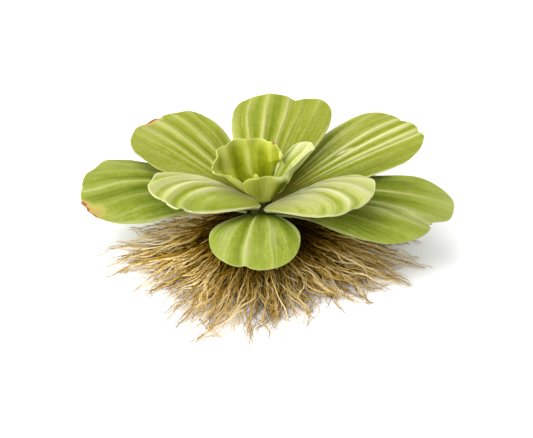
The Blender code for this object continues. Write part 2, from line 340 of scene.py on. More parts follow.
plainLeaf = {
    "turn": 0, "roll": 0, "leftCup": 0, "rightCup": 0, "baseCup": 0, "leftLip": 0, "rightLip": 0,
    "lean": 0, "skew": 0, "baseHalf": 0.0050, "widest": 0.65, "shoulder": 1.2, "blunt": 0.8,
    "thickness": 0.0024, "density": 1.0,
    "sweep": 0, "veinBend": 0, "crest": 1.5, "depth": 0.05, "tipDepth": 0.35,
    "scallop": 0.0, "notches": (), "bites": (), "heels": (), "ruffles": (), "curls": (),
    "lightness": 1.0, "veinLine": 0.8, "rimBand": 0.0007, "rimShare": 0.45,
    "dry": (), "scars": (), "streaks": (), "washes": (),
}


def crownRadius(height):
    radii, heights = zip(*crown["profile"])
    return np.interp(height, heights, radii)


def laneOf(leaf, along, across):
    # The lane that a place lies in: veins run along lanes, which may sweep sideways or bend near the tip.
    return across + leaf["sweep"] * (1 - along) - leaf["veinBend"] * smoothStep(along, 0.55, 1.0)


def veinPhase(leaf, along, across):
    # Veins sit at whole numbers of the phase, and each has its own height.
    lane = laneOf(leaf, along, across)
    lane = lane + leafHabit["veinWander"] * np.sin(2 * np.pi * (1.7 * along + 0.9 * lane)) * along
    places = np.array([place for place, _ in leaf["veins"]])
    heights = np.array([height for _, height in leaf["veins"]])
    numbers = np.arange(len(places))
    phase = np.interp(lane, places, numbers)
    phase += np.minimum(0, lane - places[0]) / (places[1] - places[0])
    phase += np.maximum(0, lane - places[-1]) / (places[-1] - places[-2])
    return phase, np.interp(lane, places, heights)


def spotOf(along, across, atAlong, atAcross, spreadAlong, spreadAcross, strength):
    # A soft oval patch, strongest at its middle.
    away = ((along - atAlong) / spreadAlong) ** 2 + ((across - atAcross) / spreadAcross) ** 2
    return strength * np.exp(-away)


def blotches(spots, along, across):
    total = np.zeros_like(along)
    for spot in spots:
        total = np.maximum(total, spotOf(along, across, *spot))
    return total


def shadeOf(leaf, along, across):
    # Streaks keep to one vein lane, washes to one patch. Above 0 is paler, below 0 deeper. Some are the
    # leaf's own markings, others painted light and painted shade: shadow cast by leaves above, lit and
    # shaded sides, ridges and furrows.
    lane = laneOf(leaf, along, across)
    total = np.zeros_like(along)
    for place, spread, start, stop, strength in leaf["streaks"]:
        within = smoothStep(along, start - 0.12, start + 0.08)
        within = within * (1 - smoothStep(along, stop - 0.08, stop + 0.12))
        total += strength * np.exp(-(((lane - place) / spread) ** 2)) * within
    for wash in leaf["washes"]:
        total += spotOf(along, across, *wash)
    return np.clip(total, -0.95, 0.95)


def walkSpine(leaf):
    # Steps out along the midrib, which changes its pitch and heading evenly on the way.
    shares = np.linspace(0, 1, leafHabit["spineSteps"] + 1)
    pitch = np.radians(leaf["rise"] + (leaf["tipPitch"] - leaf["rise"]) * shares)
    turn = np.radians(leaf["turn"] * shares)
    ahead = np.stack([np.cos(pitch) * np.cos(turn), np.cos(pitch) * np.sin(turn), np.sin(pitch)], axis=1)
    steps = (ahead[1:] + ahead[:-1]) / 2 * leaf["length"] / leafHabit["spineSteps"]
    return shares, np.vstack([np.zeros(3), np.cumsum(steps, axis=0)]), pitch, turn


def baseDistance(leaf):
    # How far from the crown's axis a leaf starts, so that its foot stands clear of the crown.
    middle = leaf["height"] - leaf["thickness"] / 2 * math.cos(math.radians(leaf["rise"]))
    clear = crownRadius(middle) + crown["gap"]
    skew = abs(math.radians(leaf["heading"] - leaf["side"]))
    distance = clear / math.cos(skew)
    half = leaf["baseHalf"]
    if distance * math.sin(skew) <= half:
        return distance
    return half * math.sin(skew) + math.sqrt(clear**2 - (half * math.cos(skew)) ** 2)


def outlineOf(leaf, along, across, side, crest):
    # How wide the blade is, how far its lanes run, and how far each place is from the margin.
    growth = np.sin(np.pi / 2 * along) ** leaf["shoulder"]
    half = leaf["baseHalf"] + (leaf["width"] / 2 * (1 + side * leaf["lean"]) - leaf["baseHalf"]) * growth
    tip = (1 - leaf["widest"]) * np.cos(np.pi / 2 * np.minimum(abs(across), 1)) ** leaf["blunt"]
    reach = leaf["length"] * (leaf["widest"] + tip) + leaf["skew"] * smoothStep(across, -0.4, 1.0)
    for place, depth, spread in leaf["notches"]:
        reach = reach - depth * np.exp(-((abs(across - place) / spread) ** leafHabit["notchPower"]))
    reach = reach - leaf["scallop"] * (1 - crest) * smoothStep(along, 0.5, 1.0)
    reach = np.minimum(reach, leaf["length"])
    edge = np.minimum(half * (1 - np.sin(np.pi / 2 * abs(across))), (1 - along) * reach)
    if leaf["heels"]:
        edge = np.minimum(edge, along * reach)
    return growth, half, reach, edge


def takeBites(leaf, along, across, rimPlace, run, offset):
    # Bites draw the margin in towards the middle of the blade, and a depth below 0 pushes it out.
    inward = np.zeros_like(along)
    for place, depth, spread in leaf["bites"]:
        inward += depth * np.exp(-((abs(rimPlace - place) / spread) ** leafHabit["bitePower"]))
    inward *= np.maximum(abs(across) ** 4, along**5)
    beyond = run - leafHabit["biteCentre"] * leaf["length"]
    apart = np.maximum(1e-6, np.hypot(beyond, offset))
    return run - inward * beyond / apart, offset - inward * offset / apart


def rippleOf(leaf, along, across, rimPlace, growth, phase, height, crest):
    # Pleats, finer ribs between them, waves along the margin and local curls, all square to the blade.
    even = leaf["baseHalf"] + (leaf["width"] / 2 - leaf["baseHalf"]) * growth
    fade = np.minimum(1, 3 * along) * (1 - (1 - leaf["tipDepth"]) * along**5) * (1 - 0.7 * across**4)
    ripple = leaf["depth"] * even * height * fade * (crest - 0.4)
    ripple += leafHabit["fineRib"] * fade * np.cos(6 * np.pi * phase)
    nearRim = np.maximum(abs(across) ** 5 * smoothStep(along, 0.1, 0.5), along**7)
    for amount, count, start in leaf["ruffles"]:
        ripple += amount * np.sin(np.pi * count * rimPlace + start) * nearRim
    for curl in leaf["curls"]:
        ripple += spotOf(along, across, *curl)
    return ripple


def layOnSpine(leaf, share, outward, lift):
    # Carries the blade's cross-section along the bent midrib and rolls it.
    shares, spine, pitches, turns = walkSpine(leaf)
    place = np.stack([np.interp(share, shares, spine[:, axis]) for axis in range(3)], axis=1)
    pitch = np.interp(share, shares, pitches)
    turn = np.interp(share, shares, turns)
    roll = np.radians(leaf["roll"]) * np.minimum(1, 2 * share)
    left = np.stack([-np.sin(turn), np.cos(turn), 0 * turn], axis=1)
    up = np.stack([-np.sin(pitch) * np.cos(turn), -np.sin(pitch) * np.sin(turn), np.cos(pitch)], axis=1)
    rolledLeft = left * np.cos(roll)[:, None] + up * np.sin(roll)[:, None]
    rolledUp = up * np.cos(roll)[:, None] - left * np.sin(roll)[:, None]
    return place + rolledLeft * outward[:, None] + rolledUp * lift[:, None]


def standByCrown(leaf, place):
    # Turns the leaf to its heading and sets its foot beside the crown.
    heading = math.radians(leaf["heading"])
    side = math.radians(leaf["side"])
    distance = baseDistance(leaf)
    return np.stack([
        place[:, 0] * math.cos(heading) - place[:, 1] * math.sin(heading) + distance * math.cos(side),
        place[:, 0] * math.sin(heading) + place[:, 1] * math.cos(heading) + distance * math.sin(side),
        place[:, 2] + leaf["height"],
    ], axis=1)


def bladePlaces(leaf, along, across):
    side = np.where(across > 0, 1.0, -1.0)
    phase, height = veinPhase(leaf, along, across)
    crest = (0.5 + 0.5 * np.cos(2 * np.pi * phase)) ** leaf["crest"]
    growth, half, reach, edge = outlineOf(leaf, along, across, side, crest)

    # rimPlace runs round the margin: 0 at the tip, 1 where the left side starts, past 2 by the crown, and
    # the same below 0 on the right.
    rimPlace = across + 1.2 * (1 - along) * np.tanh(6 * across)
    offset = half * np.sin(np.pi / 2 * across)
    run, offset = takeBites(leaf, along, across, rimPlace, along * reach, offset)

    # The cup bends each half of the blade up in an arc, and the lip bends its margin up further.
    cup = np.radians(np.where(across > 0, leaf["leftCup"], leaf["rightCup"]))
    bend = cup * (leaf["baseCup"] + (1 - leaf["baseCup"]) * growth) * abs(offset) / half
    bend = np.where(abs(bend) < 1e-5, 1e-5, bend)
    outward = offset * np.sin(bend) / bend
    lift = abs(offset) * (1 - np.cos(bend)) / bend
    lip = np.where(across > 0, leaf["leftLip"], leaf["rightLip"])
    lift += lip * np.maximum(0, 2 * abs(across) - 1) ** 2 * growth
    ripple = rippleOf(leaf, along, across, rimPlace, growth, phase, height, crest)
    outward -= side * np.sin(bend) * ripple
    lift += np.cos(bend) * ripple

    place = layOnSpine(leaf, run / leaf["length"], outward, lift)
    for atAcross, reachBack, spread in leaf["heels"]:
        back = reachBack * np.exp(-(((across - atAcross) / spread) ** 2)) * (1 - along) ** 6
        place[:, 0] -= back * math.cos(math.radians(leaf["rise"]))
        place[:, 2] -= back * math.sin(math.radians(leaf["rise"]))
    return standByCrown(leaf, place), edge, phase, height


def thickenBlade(blade, leaf, along, across, edge):
    # Thick and spongy by the crown, thin and rounded at the margin.
    fullness = (1 - abs(across) ** 3) * (1 - leafHabit["tipThinning"] * along**2)
    rounding = np.sqrt(1 - (1 - np.minimum(1, edge / leafHabit["marginRound"])) ** 2)
    weight = (leafHabit["marginShare"] + (1 - leafHabit["marginShare"]) * fullness) * rounding
    group = blade.vertex_groups.new(name="fullness")
    for index, value in enumerate(weight):
        group.add([index], float(value), "REPLACE")
    solid = blade.modifiers.new("thickness", "SOLIDIFY")
    solid.thickness = leaf["thickness"]
    solid.offset = -1
    solid.vertex_group = group.name
    solid.thickness_vertex_group = leafHabit["thinnestShare"]
    solid.use_quality_normals = True
    applyModifier(blade, solid)
    blade.vertex_groups.clear()


def raiseRibs(blade, leaf, along, edge, phase):
    # The ribs stand out on the underside, most of all near the crown.
    count = len(along)
    normals = np.empty(len(blade.data.vertices) * 3, np.float32)
    blade.data.vertices.foreach_get("normal", normals)
    normals = normals.reshape(-1, 3)
    rib = (0.5 + 0.5 * np.cos(2 * np.pi * phase)) ** leafHabit["ribSharpness"]
    rib *= leafHabit["ribHeight"] * (leaf["thickness"] / plainLeaf["thickness"]) ** 2
    rib *= np.minimum(1, 4 * along) * (1.1 - along) * smoothStep(edge, 0.0, leafHabit["ribClear"])
    places = readPlaces(blade)
    places[count:] += normals[count:] * rib[:, None]
    writePlaces(blade, places)


def growLeaf(shape):
    leaf = {**plainLeaf, **shape}
    clearSelection()
    bpy.ops.mesh.primitive_grid_add(
        x_subdivisions=int(leafHabit["lengthways"] * leaf["density"]),
        y_subdivisions=int(leafHabit["crossways"] * leaf["density"]), size=2,
    )
    blade = bpy.context.object
    blade.name = leaf["name"]
    flat = readPlaces(blade).astype(float)
    along = 1 - (1 - (flat[:, 0] + 1) / 2) ** leafHabit["tipCrowding"]
    across = np.clip(flat[:, 1], -1, 1)
    places, edge, phase, veinHeight = bladePlaces(leaf, along, across)
    writePlaces(blade, places)
    thickenBlade(blade, leaf, along, across, edge)
    raiseRibs(blade, leaf, along, edge, phase)

    # What the leaf's material reads. All but leafUnder are the same on both sides of the blade.
    for attributeName, values in (
        ("veinPhase", phase), ("veinHeight", veinHeight), ("leafAlong", along), ("leafEdge", edge),
        ("leafDry", blotches(leaf["dry"], along, across)),
        ("leafScar", blotches(leaf["scars"], along, across)),
        ("leafShade", shadeOf(leaf, along, across)),
    ):
        storeFloats(blade, attributeName, np.concatenate([values, values]))
    storeFloats(blade, "leafUnder", np.concatenate([np.zeros(len(along)), np.ones(len(along))]))

    bpy.ops.object.shade_smooth()
    blade.data.materials.append(leafMaterial(leaf))
    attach(blade, "root")
    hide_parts(leaf["node"])
    print("grew", leaf["name"])


farLeftLeaf = {
    "name": "farLeftLeaf", "node": "leaf_far_left", "slot": "outer_leaf", "tint": "far",
    "side": 180, "height": 0.0290, "heading": 164, "length": 0.096, "width": 0.052, "rise": 8,
    "tipPitch": -3, "turn": -3, "roll": -13, "leftCup": -20, "rightCup": -20, "lean": 0.10,
    "baseHalf": 0.0040, "widest": 0.70, "shoulder": 1.6, "blunt": 0.75,
    "sweep": 0.6, "veinBend": 0.16, "depth": 0.025, "crest": 2.0, "lightness": 0.87,
    "veins": ((-0.90, 0.2), (-0.58, 0.5), (-0.25, 0.6), (0.12, 1.3), (0.43, 0.6), (0.72, 0.5), (1.0, 0.3)),
    "ruffles": ((0.0006, 3.0, 0.4), (0.0004, 5.0, 2.0)),
    "notches": ((0.22, 0.0009, 0.05), (0.48, -0.0010, 0.03), (0.57, 0.0010, 0.03), (0.72, 0.0010, 0.04)),
    "bites": ((-0.55, -0.0012, 0.25),),
    "dry": (
        (1.0, 0.49, 0.055, 0.06, 1.25), (1.0, 0.60, 0.040, 0.11, 1.2), (1.0, 0.76, 0.034, 0.11, 1.15),
        (0.96, 0.60, 0.12, 0.20, 0.60),
    ),
    "streaks": (
        (0.12, 0.05, 0.5, 1.0, 0.4), (0.28, 0.12, 0.5, 0.95, -0.35), (-0.05, 0.10, 0.5, 0.9, -0.25),
        (0.80, 0.12, 0.5, 0.9, 0.15), (-0.55, 0.15, 0.5, 1.0, 0.15),
    ),
    # The first wash is painted shadow of the leaves above, across the middle of the blade.
    "washes": ((0.45, 0.0, 0.20, 1.2, -0.7), (0.95, -0.4, 0.25, 0.5, 0.1)),
}
backLeftLeaf = {
    "name": "backLeftLeaf", "node": "leaf_back_left", "slot": "outer_leaf", "tint": "back",
    "side": 159, "height": 0.0318, "heading": 137.5, "length": 0.090, "width": 0.0485, "rise": 18,
    "tipPitch": 2, "turn": -2, "roll": -14, "leftCup": 15, "rightCup": 10, "lean": -0.13,
    "baseHalf": 0.0048, "widest": 0.66, "shoulder": 1.25, "blunt": 0.97,
    "depth": 0.03, "crest": 2.0, "lightness": 0.80,
    "veins": (
        (-0.88, 0.4), (-0.68, 0.7), (-0.45, 1.0), (-0.20, 1.3), (0.0, 0.9), (0.14, 0.5), (0.38, 0.25),
        (0.64, 0.15), (0.90, 0.1),
    ),
    "ruffles": ((0.0005, 2.5, 1.2), (0.0004, 5.0, 0.3)),
    "notches": ((-0.06, 0.0012, 0.12), (-0.28, 0.0022, 0.05)),
    "dry": ((1.0, -0.17, 0.034, 0.12, 1.25),),
    "streaks": (
        (-0.20, 0.04, 0.3, 1.0, 0.45), (-0.45, 0.04, 0.4, 1.0, 0.35), (-0.02, 0.03, 0.3, 1.0, 0.3),
        (-0.31, 0.05, 0.3, 0.9, -0.25), (-0.10, 0.04, 0.3, 0.9, -0.25), (-0.56, 0.05, 0.4, 1.0, -0.2),
        (-0.05, 0.30, 0.8, 1.0, 0.25),
    ),
    "washes": ((0.22, 0.2, 0.14, 0.7, -0.35), (0.45, -0.7, 0.35, 0.3, -0.28)),
}
backLeaf = {
    "name": "backLeaf", "node": "leaf_back", "slot": "outer_leaf", "tint": "back",
    "side": 83, "height": 0.0343, "heading": 77, "length": 0.073, "width": 0.056, "rise": 37,
    "tipPitch": 13, "roll": -2, "baseHalf": 0.0055, "widest": 0.70, "blunt": 0.67,
    "depth": 0.036, "crest": 2.2, "lightness": 0.89,
    "veins": (
        (-0.78, 0.2), (-0.45, 0.5), (-0.20, 0.6), (-0.03, 1.2), (0.25, 1.3), (0.53, 0.8), (0.80, 0.2),
    ),
    "ruffles": ((0.0007, 2.5, 0.0),),
    "notches": ((-0.10, 0.0048, 0.15), (0.18, 0.0012, 0.25)),
    "dry": ((1.0, 0.22, 0.015, 0.04, 0.75),),
    "streaks": (
        (0.53, 0.04, 0.3, 1.0, 0.3), (0.25, 0.035, 0.3, 1.0, 0.5), (-0.03, 0.035, 0.3, 1.0, 0.5),
        (0.11, 0.09, 0.4, 1.0, -0.35), (0.38, 0.07, 0.4, 0.9, -0.2), (-0.22, 0.08, 0.5, 1.0, -0.15),
    ),
    # The pale wash on the left margin is partly the leaf's own paler margin and partly painted light; the
    # deeper washes on the right side are painted shade.
    "washes": (
        (0.7, 0.95, 0.6, 0.14, 0.25), (0.7, -0.60, 0.35, 0.25, -0.18), (0.7, -0.98, 0.6, 0.16, -0.25),
    ),
}
backRightLeaf = {
    "name": "backRightLeaf", "node": "leaf_back_right", "slot": "outer_leaf", "tint": "streaked",
    "side": 20, "height": 0.0315, "heading": 30, "length": 0.0985, "width": 0.043, "rise": 18,
    "tipPitch": 5, "turn": 2, "roll": 14, "leftCup": 16, "lean": 0.13, "baseHalf": 0.0056,
    "widest": 0.70, "shoulder": 1.36, "blunt": 0.97,
    "depth": 0.034, "crest": 2.2, "lightness": 1.02,
    "veins": (
        (-0.90, 0.15), (-0.62, 0.2), (-0.35, 0.3), (-0.125, 0.9), (-0.02, 1.0), (0.155, 1.3), (0.33, 1.1),
        (0.50, 0.5), (0.66, 0.7), (0.85, 0.4),
    ),
    "ruffles": ((0.0005, 3.0, 1.0),),
    "notches": ((0.28, 0.0022, 0.06), (-0.06, 0.0018, 0.05), (-0.22, -0.0012, 0.07)),
    "scars": ((0.53, 0.25, 0.035, 0.022, 0.85), (0.57, 0.22, 0.03, 0.018, 0.85)),
    # The deep streak at lane 0.80 along the left margin is painted shade on the curled margin.
    "streaks": (
        (0.33, 0.03, 0.4, 1.0, 0.40), (0.155, 0.03, 0.35, 1.0, 0.55), (-0.02, 0.035, 0.3, 1.0, 0.45),
        (-0.125, 0.03, 0.4, 1.0, 0.40), (0.80, 0.12, 0.2, 0.8, -0.35), (0.50, 0.05, 0.3, 0.9, -0.2),
        (0.24, 0.04, 0.5, 1.0, -0.3), (0.07, 0.04, 0.5, 1.0, -0.3), (0.62, 0.03, 0.3, 0.8, 0.25),
        (0.08, 0.25, 0.5, 0.95, 0.20),
    ),
    # The deep washes at the foot are painted shade by the crown and the inner right leaf.
    "washes": (
        (0.45, -0.6, 0.5, 0.40, -0.60), (0.1, 0.0, 0.10, 1.0, -0.6), (0.25, 0.8, 0.10, 0.4, -0.4),
        (0.55, 0.6, 0.4, 0.35, 0.14),
    ),
}
farRightLeaf = {
    "name": "farRightLeaf", "node": "leaf_far_right", "slot": "outer_leaf", "tint": "far",
    "side": -8, "height": 0.0280, "heading": -2, "length": 0.096, "width": 0.055, "rise": 10,
    "tipPitch": -3, "turn": -14, "roll": 12, "leftCup": -8, "rightCup": -15, "lean": 0.06,
    "shoulder": 1.35, "blunt": 0.95,
    "sweep": -0.6, "depth": 0.036, "crest": 2.0, "lightness": 0.90,
    "veins": (
        (-0.90, 0.1), (-0.62, 0.3), (-0.33, 1.2), (-0.20, 1.3), (0.13, 1.0), (0.50, 0.4), (0.85, 0.2),
    ),
    "ruffles": ((0.0006, 3.0, 0.4),),
    "notches": (
        (-0.135, 0.0060, 0.045), (-0.215, 0.0075, 0.075), (-0.33, 0.0040, 0.12), (0.0, 0.0006, 0.12),
        (-0.80, 0.0030, 0.25),
    ),
    "curls": ((1.0, -0.15, 0.08, 0.20, -0.0022),),
    "bites": ((-0.46, 0.0024, 0.20),),
    # The deep streak at lane -0.50 is partly painted shadow of the front right leaf above.
    "streaks": (
        (-0.20, 0.04, 0.45, 1.0, 0.55), (-0.31, 0.05, 0.45, 1.0, 0.6), (0.125, 0.03, 0.5, 0.8, 0.5),
        (-0.50, 0.10, 0.0, 0.70, -0.30), (-0.10, 0.08, 0.2, 0.65, -0.30), (0.45, 0.12, 0.4, 0.85, -0.4),
        (-0.75, 0.10, 0.1, 0.8, -0.15),
    ),
    # The first wash is painted shadow of the back right leaf above.
    "washes": ((0.45, 0.6, 0.30, 0.6, -0.45), (1.0, 0.2, 0.15, 0.5, 0.3)),
}
frontLeftLeaf = {
    "name": "frontLeftLeaf", "node": "leaf_front_left", "slot": "front_leaf", "tint": "pale",
    "side": 254, "height": 0.0355, "heading": 183, "length": 0.060, "width": 0.0385, "rise": 17,
    "tipPitch": 7, "turn": -2, "roll": -8, "rightCup": -19, "baseHalf": 0.0022, "widest": 0.61,
    "shoulder": 0.88, "blunt": 0.77,
    "sweep": 2.5, "depth": 0.070, "crest": 1.0, "tipDepth": 0.7, "scallop": 0.0012,
    "lightness": 1.04, "veinLine": 0.15, "rimBand": 0.0012, "rimShare": 0.6,
    "veins": (
        (-1.0, 0.9), (-0.45, 1.2), (0.08, 1.3), (0.67, 1.3), (1.15, 1.1), (1.7, 0.4), (2.3, 0.25),
        (2.9, 0.2),
    ),
    "heels": ((0.35, 0.0016, 0.7),),
    "bites": ((0.62, 0.0036, 0.36), (0.40, 0.0016, 0.07), (0.93, 0.0016, 0.08)),
    # Pale streaks on the ridges are mostly painted highlight and deep ones in the furrows painted shade.
    "streaks": (
        (1.18, 0.12, 0.2, 0.6, 0.5), (0.62, 0.12, 0.45, 0.85, 0.45), (0.28, 0.08, 0.6, 1.0, 0.3),
        (0.92, 0.09, 0.45, 1.0, -0.6), (0.36, 0.06, 0.4, 1.0, -0.45), (-0.18, 0.09, 0.4, 1.0, -0.55),
        (-0.72, 0.09, 0.4, 1.0, -0.50),
    ),
    # The pale wash on the back half is painted light and the deep one on the front half painted shade.
    "washes": ((0.6, -0.9, 0.6, 0.65, 0.50), (0.38, 0.9, 0.5, 0.65, -0.95)),
}
frontRightLeaf = {
    "name": "frontRightLeaf", "node": "leaf_front_right", "slot": "front_leaf", "tint": "pale",
    "side": -71, "height": 0.0335, "heading": -10, "length": 0.060, "width": 0.038, "rise": 17,
    "tipPitch": 15, "turn": 4, "roll": 8, "leftCup": -15, "lean": 0.05, "baseHalf": 0.0024,
    "widest": 0.62, "shoulder": 1.0, "blunt": 0.94,
    "sweep": -2.5, "crest": 1.0, "tipDepth": 0.7, "scallop": 0.0009,
    "lightness": 0.92, "veinLine": 0.15, "rimBand": 0.0010, "rimShare": 0.5,
    "veins": (
        (-2.9, 0.2), (-2.3, 0.25), (-1.75, 0.4), (-1.30, 0.7), (-0.85, 1.3), (-0.35, 1.0), (0.20, 0.9),
        (0.75, 0.6),
    ),
    "heels": ((-0.35, 0.0016, 0.7),),
    "bites": ((-0.64, 0.0014, 0.07), (-0.30, 0.0005, 0.06)),
    # Pale streaks on the ridges are mostly painted highlight and deep ones in the furrows painted shade.
    "streaks": (
        (-0.84, 0.05, 0.4, 0.85, 0.7), (-0.30, 0.10, 0.5, 1.0, 0.4), (-0.66, 0.07, 0.5, 1.0, -0.5),
        (-1.04, 0.08, 0.5, 1.0, -0.45), (0.20, 0.12, 0.5, 1.0, 0.3),
    ),
    # The pale wash on the back half is painted light and the deep one on the front half painted shade.
    "washes": ((0.3, 0.5, 0.5, 0.9, 0.5), (0.5, -0.9, 0.6, 0.5, -0.2)),
}
frontLeaf = {
    "name": "frontLeaf", "node": "leaf_front", "slot": "outer_leaf", "tint": "far",
    "side": 268, "height": 0.0290, "heading": 268, "length": 0.051, "width": 0.0472, "rise": 14,
    "tipPitch": -22, "roll": -2, "leftCup": -5, "rightCup": -8, "lean": -0.105, "baseHalf": 0.0060,
    "widest": 0.50, "shoulder": 0.9, "blunt": 0.75,
    "depth": 0.028, "crest": 1.4,
    "veins": ((-0.75, 0.2), (-0.45, 0.5), (-0.18, 1.4), (0.22, 0.6), (0.50, 0.25), (0.80, 0.15)),
    "notches": ((-0.15, 0.0016, 0.07),),
    "streaks": (
        (-0.17, 0.025, 0.05, 1.0, 0.7), (-0.26, 0.06, 0.25, 0.95, -0.5), (0.24, 0.07, 0.1, 0.7, 0.25),
        (-0.55, 0.12, 0.4, 1.0, 0.25), (0.05, 0.12, 0.2, 0.8, 0.1),
    ),
    # The three deep washes at the foot are painted shadow of the front leaves above; the pale washes are
    # partly the leaf's own paler patches and partly painted light, and the deep wash near the left margin
    # is painted shade.
    "washes": (
        (0.15, 0.9, 0.35, 0.35, -0.7), (0.15, -0.9, 0.35, 0.35, -0.7), (0.0, 0.0, 0.12, 1.0, -0.7),
        (0.45, -0.62, 0.25, 0.15, 0.35), (0.80, -0.17, 0.15, 0.08, 0.35), (0.42, 0.33, 0.26, 0.13, 0.30),
        (0.5, 0.78, 0.4, 0.25, -0.35),
    ),
}
innerBackLeaf = {
    "name": "innerBackLeaf", "node": "inner_leaf_back", "slot": "inner_leaf", "tint": "heart",
    "side": 110, "height": 0.0362, "heading": 112, "length": 0.030, "width": 0.043, "rise": 36,
    "tipPitch": 80, "turn": -7, "roll": -32, "leftCup": 90, "rightCup": 34, "baseCup": 0.5,
    "leftLip": 0.0112, "rightLip": 0.002, "lean": 0.05, "widest": 0.55, "shoulder": 0.3, "blunt": 0.6,
    "thickness": 0.0014, "density": 0.9, "depth": 0.060, "crest": 1.0, "tipDepth": 0.6,
    # Its wide pale rim is partly the pale margin and partly painted highlight.
    "lightness": 1.14, "veinLine": 0.12, "rimBand": 0.0016, "rimShare": 0.75,
    "notches": ((-0.60, -0.0030, 0.25), (-0.35, 0.0006, 0.12), (0.12, -0.0006, 0.12), (0.40, 0.0008, 0.10)),
    "veins": ((-0.90, 0.5), (-0.42, 1.0), (0.02, 1.1), (0.40, 1.3), (0.80, 0.7)),
    "ruffles": ((0.0010, 2.6, 0.5), (0.0005, 5.0, 1.0)),
    "curls": (
        (0.62, 0.95, 0.16, 0.25, -0.0018), (0.80, -0.85, 0.14, 0.25, 0.0012),
        (0.55, 0.04, 0.35, 0.10, 0.0010), (0.55, 0.27, 0.35, 0.10, -0.0008),
        (0.50, -0.22, 0.35, 0.11, -0.0010), (0.60, -0.50, 0.35, 0.14, 0.0008),
    ),
    "dry": ((0.98, -0.57, 0.06, 0.065, 1.2),),
    "streaks": (
        (0.05, 0.06, 0.30, 0.80, 0.55), (0.27, 0.08, 0.20, 0.85, -0.36), (-0.20, 0.07, 0.20, 0.75, -0.30),
        (0.46, 0.12, 0.50, 1.0, 0.35), (-0.47, 0.10, 0.35, 1.0, 0.10), (0.66, 0.08, 0.3, 0.8, -0.30),
    ),
    # The deep wash at the foot is painted shade at the bottom of the cup; the pale washes along the rim and
    # lip are partly painted highlight.
    "washes": (
        (0.15, 0.0, 0.20, 1.2, -0.45), (1.0, 0.5, 0.14, 0.8, 0.35), (0.8, 0.95, 0.30, 0.18, 0.45),
        (0.55, 0.62, 0.25, 0.20, 0.30),
    ),
}
innerFrontLeaf = {
    "name": "innerFrontLeaf", "node": "inner_leaf_front", "slot": "inner_leaf", "tint": "heart",
    "side": 280, "height": 0.0362, "heading": 282, "length": 0.0175, "width": 0.025, "rise": 73,
    "tipPitch": 75, "roll": -3, "leftCup": 6, "rightCup": 24, "baseCup": 0.6, "rightLip": 0.001,
    "lean": 0.06, "skew": 0.0054, "baseHalf": 0.0038, "widest": 0.55, "shoulder": 1.0, "blunt": 0.85,
    "thickness": 0.0010, "density": 0.8, "depth": 0.045, "crest": 1.0, "tipDepth": 0.5,
    "lightness": 0.80, "veinLine": 0.2, "rimBand": 0.0010, "rimShare": 0.6,
    "veins": ((-0.95, 0.2), (-0.50, 0.5), (0.0, 1.0), (0.55, 0.6), (0.95, 0.2)),
    "ruffles": ((0.0005, 3.0, 0.5),),
    "curls": (
        (0.95, 0.75, 0.25, 0.22, 0.0007), (0.95, 0.35, 0.25, 0.20, -0.0005),
        (0.93, 0.56, 0.10, 0.07, 0.0003), (1.0, -0.05, 0.15, 0.12, 0.0004),
    ),
    # The deep streak at lane 0.62 is painted shade on the half beside the inner right leaf.
    "streaks": (
        (0.17, 0.13, 0.1, 0.85, 0.50), (-0.28, 0.16, 0.2, 0.9, -0.35), (0.62, 0.26, 0.1, 0.72, -0.80),
        (-0.70, 0.14, 0.4, 1.0, 0.25),
    ),
    # The first wash is painted shade on that same half.
    "washes": ((0.50, 0.75, 0.32, 0.35, -0.75), (0.35, -0.8, 0.4, 0.4, -0.5)),
    "scars": ((0.96, 0.50, 0.12, 0.20, 1.1), (0.90, 0.72, 0.10, 0.12, 0.7)),
}
innerRightLeaf = {
    "name": "innerRightLeaf", "node": "inner_leaf_right", "slot": "inner_leaf", "tint": "pale",
    "side": 8, "height": 0.0366, "heading": 13, "length": 0.036, "width": 0.0185, "rise": 68,
    "tipPitch": 30, "roll": 10, "leftCup": 20, "rightCup": 65, "baseCup": 0.7, "lean": -0.05,
    "baseHalf": 0.0030, "widest": 0.60, "blunt": 0.75,
    "thickness": 0.0010, "density": 0.8, "depth": 0.06, "crest": 1.2, "tipDepth": 0.9,
    "lightness": 1.03, "veinLine": 0.4,
    "veins": ((-0.8, 0.6), (-0.35, 1.0), (0.05, 1.2), (0.45, 1.0), (0.85, 0.6)),
    "ruffles": ((0.0005, 3.0, 0.8),),
    "curls": (
        (0.80, 0.30, 0.14, 0.45, -0.0010), (1.0, 0.20, 0.16, 0.50, 0.0012),
        (0.85, -0.50, 0.20, 0.30, 0.0007), (0.40, -0.5, 0.18, 0.7, -0.0028),
    ),
    "streaks": (
        (0.25, 0.10, 0.35, 0.95, -0.55), (-0.20, 0.10, 0.2, 0.9, -0.45), (0.68, 0.08, 0.4, 0.9, -0.35),
    ),
    # The pale wash at the tip is partly painted highlight; the deep wash at the foot is painted shade.
    "washes": ((0.95, 0.2, 0.25, 0.8, 0.6), (0.2, 0.0, 0.2, 1.2, -0.5)),
}
budLeaf = {
    "name": "budLeaf", "node": "bud_leaf", "slot": "inner_leaf", "tint": "heart",
    "side": 218, "height": 0.0368, "heading": 218, "length": 0.014, "width": 0.0090, "rise": 84,
    "tipPitch": 104, "leftCup": 70, "rightCup": 70, "baseCup": 0.2, "baseHalf": 0.0018, "widest": 0.45,
    "shoulder": 0.9, "blunt": 1.1, "thickness": 0.0009, "density": 0.4,
    "veins": ((-0.7, 0.8), (0.0, 1.0), (0.7, 0.8)),
}

for leaf in (
    farLeftLeaf, backLeftLeaf, backLeaf, backRightLeaf, farRightLeaf, frontLeftLeaf, frontRightLeaf,
    frontLeaf, innerBackLeaf, innerFrontLeaf, innerRightLeaf, budLeaf,
):
    growLeaf(leaf)


# Crown: a stack of rings about Z, scarred where old leaves came away, tender green on top.

